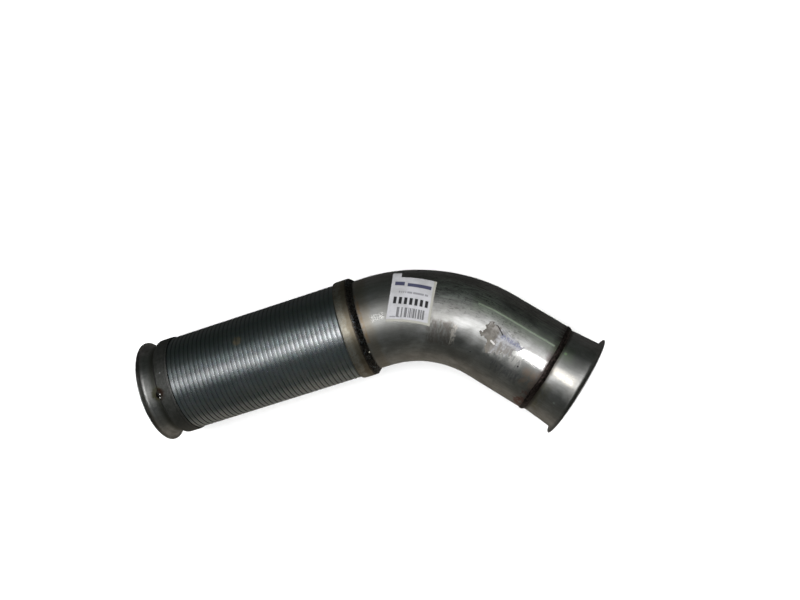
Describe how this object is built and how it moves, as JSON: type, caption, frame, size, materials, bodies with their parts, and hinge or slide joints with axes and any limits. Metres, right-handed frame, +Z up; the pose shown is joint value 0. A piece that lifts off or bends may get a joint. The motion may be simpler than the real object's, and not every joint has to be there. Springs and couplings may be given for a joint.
{
  "type": "flexible exhaust pipe with bent outlet tube",
  "caption": "Strip-wound interlocked flexible metal hose in welded collars, with a flared inlet stub and a bent outlet tube ending in a flared, welded stub.",
  "frame": {"origin": "under the middle of the bounding box, on the surface the pipe lies on", "axes": "+X along the hose from the inlet to the outlet side, +Z up, and the tube bends in the horizontal plane towards -Y"},
  "size_m": [0.5826, 0.2698, 0.138],
  "materials": {
    "tube_steel": "brushed, softly reflective aluminised steel",
    "collar_steel": "satin steel with warm heat tint near the weld",
    "hose_steel": "cool grey galvanised strip",
    "weld": "dark rippled weld bead with scale",
    "label_paper": "coated white paper",
    "torn_paper": "torn paper and glue residue"
  },
  "bodies": {
    "outlet_pipe": {"bent_tube": "tube_steel", "middle_collar": "collar_steel", "middle_collar_weld": "weld", "hose_end_outlet": "hose_steel", "outlet_weld": "weld", "outlet_flare": "tube_steel", "paper_label": "label_paper", "torn_label": "torn_paper"},
    "inlet_end": {"inlet_flare": "tube_steel", "inlet_collar": "collar_steel", "inlet_tack_weld_1": "weld", "inlet_tack_weld_2": "weld", "inlet_tack_weld_3": "weld", "inlet_tack_weld_4": "weld", "hose_end_inlet": "hose_steel"},
    "hose_turn_01": {"hose_turn_01": "hose_steel"},
    "hose_turn_02": {"hose_turn_02": "hose_steel"},
    "hose_turn_03": {"hose_turn_03": "hose_steel"},
    "hose_turn_04": {"hose_turn_04": "hose_steel"},
    "hose_turn_05": {"hose_turn_05": "hose_steel"},
    "hose_turn_06": {"hose_turn_06": "hose_steel"},
    "hose_turn_07": {"hose_turn_07": "hose_steel"},
    "hose_turn_08": {"hose_turn_08": "hose_steel"},
    "hose_turn_09": {"hose_turn_09": "hose_steel"},
    "hose_turn_10": {"hose_turn_10": "hose_steel"},
    "hose_turn_11": {"hose_turn_11": "hose_steel"},
    "hose_turn_12": {"hose_turn_12": "hose_steel"},
    "hose_turn_13": {"hose_turn_13": "hose_steel"},
    "hose_turn_14": {"hose_turn_14": "hose_steel"},
    "hose_turn_15": {"hose_turn_15": "hose_steel"},
    "hose_turn_16": {"hose_turn_16": "hose_steel"},
    "hose_turn_17": {"hose_turn_17": "hose_steel"},
    "hose_turn_18": {"hose_turn_18": "hose_steel"},
    "hose_turn_19": {"hose_turn_19": "hose_steel"},
    "hose_turn_20": {"hose_turn_20": "hose_steel"},
    "hose_turn_21": {"hose_turn_21": "hose_steel"},
    "hose_turn_22": {"hose_turn_22": "hose_steel"},
    "hose_turn_23": {"hose_turn_23": "hose_steel"},
    "hose_turn_24": {"hose_turn_24": "hose_steel"},
    "hose_turn_25": {"hose_turn_25": "hose_steel"},
    "hose_turn_26": {"hose_turn_26": "hose_steel"},
    "hose_turn_27": {"hose_turn_27": "hose_steel"},
    "hose_turn_28": {"hose_turn_28": "hose_steel"},
    "hose_turn_29": {"hose_turn_29": "hose_steel"},
    "hose_turn_30": {"hose_turn_30": "hose_steel"},
    "hose_turn_31": {"hose_turn_31": "hose_steel"},
    "hose_turn_32": {"hose_turn_32": "hose_steel"},
    "hose_turn_33": {"hose_turn_33": "hose_steel"},
    "hose_turn_34": {"hose_turn_34": "hose_steel"},
    "hose_turn_35": {"hose_turn_35": "hose_steel"},
    "hose_turn_36": {"hose_turn_36": "hose_steel"},
    "hose_turn_37": {"hose_turn_37": "hose_steel"}
  },
  "joints": [
    {"name": "bend_in_plan", "type": "hinge", "parent": "outlet_pipe", "child": "hose_turn_37", "pos_m": [-0.02163, 0.06689, 0.069], "axis": [0, 0, 1], "range_deg": [-1.15, 1.15]},
    {"name": "bend_upright", "type": "hinge", "parent": "hose_turn_37", "child": "hose_turn_36", "pos_m": [-0.02772, 0.06689, 0.069], "axis": [0, 1, 0], "range_deg": [-1.15, 1.15]},
    {"name": "stretch", "type": "slide", "parent": "hose_turn_36", "child": "hose_turn_35", "axis": [-1, 0, 0], "range_m": [-0.0013, 0.0013]},
    {"name": "bend_in_plan_02", "type": "hinge", "parent": "hose_turn_35", "child": "hose_turn_34", "pos_m": [-0.03988, 0.06689, 0.069], "axis": [0, 0, 1], "range_deg": [-1.15, 1.15]},
    {"name": "bend_upright_02", "type": "hinge", "parent": "hose_turn_34", "child": "hose_turn_33", "pos_m": [-0.04596, 0.06689, 0.069], "axis": [0, 1, 0], "range_deg": [-1.15, 1.15]},
    {"name": "stretch_02", "type": "slide", "parent": "hose_turn_33", "child": "hose_turn_32", "axis": [-1, 0, 0], "range_m": [-0.0013, 0.0013]},
    {"name": "bend_in_plan_03", "type": "hinge", "parent": "hose_turn_32", "child": "hose_turn_31", "pos_m": [-0.05813, 0.06689, 0.069], "axis": [0, 0, 1], "range_deg": [-1.15, 1.15]},
    {"name": "bend_upright_03", "type": "hinge", "parent": "hose_turn_31", "child": "hose_turn_30", "pos_m": [-0.06421, 0.06689, 0.069], "axis": [0, 1, 0], "range_deg": [-1.15, 1.15]},
    {"name": "stretch_03", "type": "slide", "parent": "hose_turn_30", "child": "hose_turn_29", "axis": [-1, 0, 0], "range_m": [-0.0013, 0.0013]},
    {"name": "bend_in_plan_04", "type": "hinge", "parent": "hose_turn_29", "child": "hose_turn_28", "pos_m": [-0.07637, 0.06689, 0.069], "axis": [0, 0, 1], "range_deg": [-1.15, 1.15]},
    {"name": "bend_upright_04", "type": "hinge", "parent": "hose_turn_28", "child": "hose_turn_27", "pos_m": [-0.08245, 0.06689, 0.069], "axis": [0, 1, 0], "range_deg": [-1.15, 1.15]},
    {"name": "stretch_04", "type": "slide", "parent": "hose_turn_27", "child": "hose_turn_26", "axis": [-1, 0, 0], "range_m": [-0.0013, 0.0013]},
    {"name": "bend_in_plan_05", "type": "hinge", "parent": "hose_turn_26", "child": "hose_turn_25", "pos_m": [-0.09462, 0.06689, 0.069], "axis": [0, 0, 1], "range_deg": [-1.15, 1.15]},
    {"name": "bend_upright_05", "type": "hinge", "parent": "hose_turn_25", "child": "hose_turn_24", "pos_m": [-0.1007, 0.06689, 0.069], "axis": [0, 1, 0], "range_deg": [-1.15, 1.15]},
    {"name": "stretch_05", "type": "slide", "parent": "hose_turn_24", "child": "hose_turn_23", "axis": [-1, 0, 0], "range_m": [-0.0013, 0.0013]},
    {"name": "bend_in_plan_06", "type": "hinge", "parent": "hose_turn_23", "child": "hose_turn_22", "pos_m": [-0.11286, 0.06689, 0.069], "axis": [0, 0, 1], "range_deg": [-1.15, 1.15]},
    {"name": "bend_upright_06", "type": "hinge", "parent": "hose_turn_22", "child": "hose_turn_21", "pos_m": [-0.11895, 0.06689, 0.069], "axis": [0, 1, 0], "range_deg": [-1.15, 1.15]},
    {"name": "stretch_06", "type": "slide", "parent": "hose_turn_21", "child": "hose_turn_20", "axis": [-1, 0, 0], "range_m": [-0.0013, 0.0013]},
    {"name": "bend_in_plan_07", "type": "hinge", "parent": "hose_turn_20", "child": "hose_turn_19", "pos_m": [-0.13111, 0.06689, 0.069], "axis": [0, 0, 1], "range_deg": [-1.15, 1.15]},
    {"name": "bend_upright_07", "type": "hinge", "parent": "hose_turn_19", "child": "hose_turn_18", "pos_m": [-0.13719, 0.06689, 0.069], "axis": [0, 1, 0], "range_deg": [-1.15, 1.15]},
    {"name": "stretch_07", "type": "slide", "parent": "hose_turn_18", "child": "hose_turn_17", "axis": [-1, 0, 0], "range_m": [-0.0013, 0.0013]},
    {"name": "bend_in_plan_08", "type": "hinge", "parent": "hose_turn_17", "child": "hose_turn_16", "pos_m": [-0.14936, 0.06689, 0.069], "axis": [0, 0, 1], "range_deg": [-1.15, 1.15]},
    {"name": "bend_upright_08", "type": "hinge", "parent": "hose_turn_16", "child": "hose_turn_15", "pos_m": [-0.15544, 0.06689, 0.069], "axis": [0, 1, 0], "range_deg": [-1.15, 1.15]},
    {"name": "stretch_08", "type": "slide", "parent": "hose_turn_15", "child": "hose_turn_14", "axis": [-1, 0, 0], "range_m": [-0.0013, 0.0013]},
    {"name": "bend_in_plan_09", "type": "hinge", "parent": "hose_turn_14", "child": "hose_turn_13", "pos_m": [-0.1676, 0.06689, 0.069], "axis": [0, 0, 1], "range_deg": [-1.15, 1.15]},
    {"name": "bend_upright_09", "type": "hinge", "parent": "hose_turn_13", "child": "hose_turn_12", "pos_m": [-0.17369, 0.06689, 0.069], "axis": [0, 1, 0], "range_deg": [-1.15, 1.15]},
    {"name": "stretch_09", "type": "slide", "parent": "hose_turn_12", "child": "hose_turn_11", "axis": [-1, 0, 0], "range_m": [-0.0013, 0.0013]},
    {"name": "bend_in_plan_10", "type": "hinge", "parent": "hose_turn_11", "child": "hose_turn_10", "pos_m": [-0.18585, 0.06689, 0.069], "axis": [0, 0, 1], "range_deg": [-1.15, 1.15]},
    {"name": "bend_upright_10", "type": "hinge", "parent": "hose_turn_10", "child": "hose_turn_09", "pos_m": [-0.19193, 0.06689, 0.069], "axis": [0, 1, 0], "range_deg": [-1.15, 1.15]},
    {"name": "stretch_10", "type": "slide", "parent": "hose_turn_09", "child": "hose_turn_08", "axis": [-1, 0, 0], "range_m": [-0.0013, 0.0013]},
    {"name": "bend_in_plan_11", "type": "hinge", "parent": "hose_turn_08", "child": "hose_turn_07", "pos_m": [-0.2041, 0.06689, 0.069], "axis": [0, 0, 1], "range_deg": [-1.15, 1.15]},
    {"name": "bend_upright_11", "type": "hinge", "parent": "hose_turn_07", "child": "hose_turn_06", "pos_m": [-0.21018, 0.06689, 0.069], "axis": [0, 1, 0], "range_deg": [-1.15, 1.15]},
    {"name": "stretch_11", "type": "slide", "parent": "hose_turn_06", "child": "hose_turn_05", "axis": [-1, 0, 0], "range_m": [-0.0013, 0.0013]},
    {"name": "bend_in_plan_12", "type": "hinge", "parent": "hose_turn_05", "child": "hose_turn_04", "pos_m": [-0.22234, 0.06689, 0.069], "axis": [0, 0, 1], "range_deg": [-1.15, 1.15]},
    {"name": "bend_upright_12", "type": "hinge", "parent": "hose_turn_04", "child": "hose_turn_03", "pos_m": [-0.22842, 0.06689, 0.069], "axis": [0, 1, 0], "range_deg": [-1.15, 1.15]},
    {"name": "stretch_12", "type": "slide", "parent": "hose_turn_03", "child": "hose_turn_02", "axis": [-1, 0, 0], "range_m": [-0.0013, 0.0013]},
    {"name": "bend_in_plan_13", "type": "hinge", "parent": "hose_turn_02", "child": "hose_turn_01", "pos_m": [-0.24059, 0.06689, 0.069], "axis": [0, 0, 1], "range_deg": [-1.15, 1.15]},
    {"name": "bend_upright_13", "type": "hinge", "parent": "hose_turn_01", "child": "inlet_end", "pos_m": [-0.24667, 0.06689, 0.069], "axis": [0, 1, 0], "range_deg": [-1.15, 1.15]}
  ],
  "couplings": [
    {"joint": "bend_in_plan_02", "follows": "bend_in_plan", "ratio": 1},
    {"joint": "bend_upright_02", "follows": "bend_upright", "ratio": 1},
    {"joint": "stretch_02", "follows": "stretch", "ratio": 1},
    {"joint": "bend_in_plan_03", "follows": "bend_in_plan", "ratio": 1},
    {"joint": "bend_upright_03", "follows": "bend_upright", "ratio": 1},
    {"joint": "stretch_03", "follows": "stretch", "ratio": 1},
    {"joint": "bend_in_plan_04", "follows": "bend_in_plan", "ratio": 1},
    {"joint": "bend_upright_04", "follows": "bend_upright", "ratio": 1},
    {"joint": "stretch_04", "follows": "stretch", "ratio": 1},
    {"joint": "bend_in_plan_05", "follows": "bend_in_plan", "ratio": 1},
    {"joint": "bend_upright_05", "follows": "bend_upright", "ratio": 1},
    {"joint": "stretch_05", "follows": "stretch", "ratio": 1},
    {"joint": "bend_in_plan_06", "follows": "bend_in_plan", "ratio": 1},
    {"joint": "bend_upright_06", "follows": "bend_upright", "ratio": 1},
    {"joint": "stretch_06", "follows": "stretch", "ratio": 1},
    {"joint": "bend_in_plan_07", "follows": "bend_in_plan", "ratio": 1},
    {"joint": "bend_upright_07", "follows": "bend_upright", "ratio": 1},
    {"joint": "stretch_07", "follows": "stretch", "ratio": 1},
    {"joint": "bend_in_plan_08", "follows": "bend_in_plan", "ratio": 1},
    {"joint": "bend_upright_08", "follows": "bend_upright", "ratio": 1},
    {"joint": "stretch_08", "follows": "stretch", "ratio": 1},
    {"joint": "bend_in_plan_09", "follows": "bend_in_plan", "ratio": 1},
    {"joint": "bend_upright_09", "follows": "bend_upright", "ratio": 1},
    {"joint": "stretch_09", "follows": "stretch", "ratio": 1},
    {"joint": "bend_in_plan_10", "follows": "bend_in_plan", "ratio": 1},
    {"joint": "bend_upright_10", "follows": "bend_upright", "ratio": 1},
    {"joint": "stretch_10", "follows": "stretch", "ratio": 1},
    {"joint": "bend_in_plan_11", "follows": "bend_in_plan", "ratio": 1},
    {"joint": "bend_upright_11", "follows": "bend_upright", "ratio": 1},
    {"joint": "stretch_11", "follows": "stretch", "ratio": 1},
    {"joint": "bend_in_plan_12", "follows": "bend_in_plan", "ratio": 1},
    {"joint": "bend_upright_12", "follows": "bend_upright", "ratio": 1},
    {"joint": "stretch_12", "follows": "stretch", "ratio": 1},
    {"joint": "bend_in_plan_13", "follows": "bend_in_plan", "ratio": 1},
    {"joint": "bend_upright_13", "follows": "bend_upright", "ratio": 1}
  ]
}
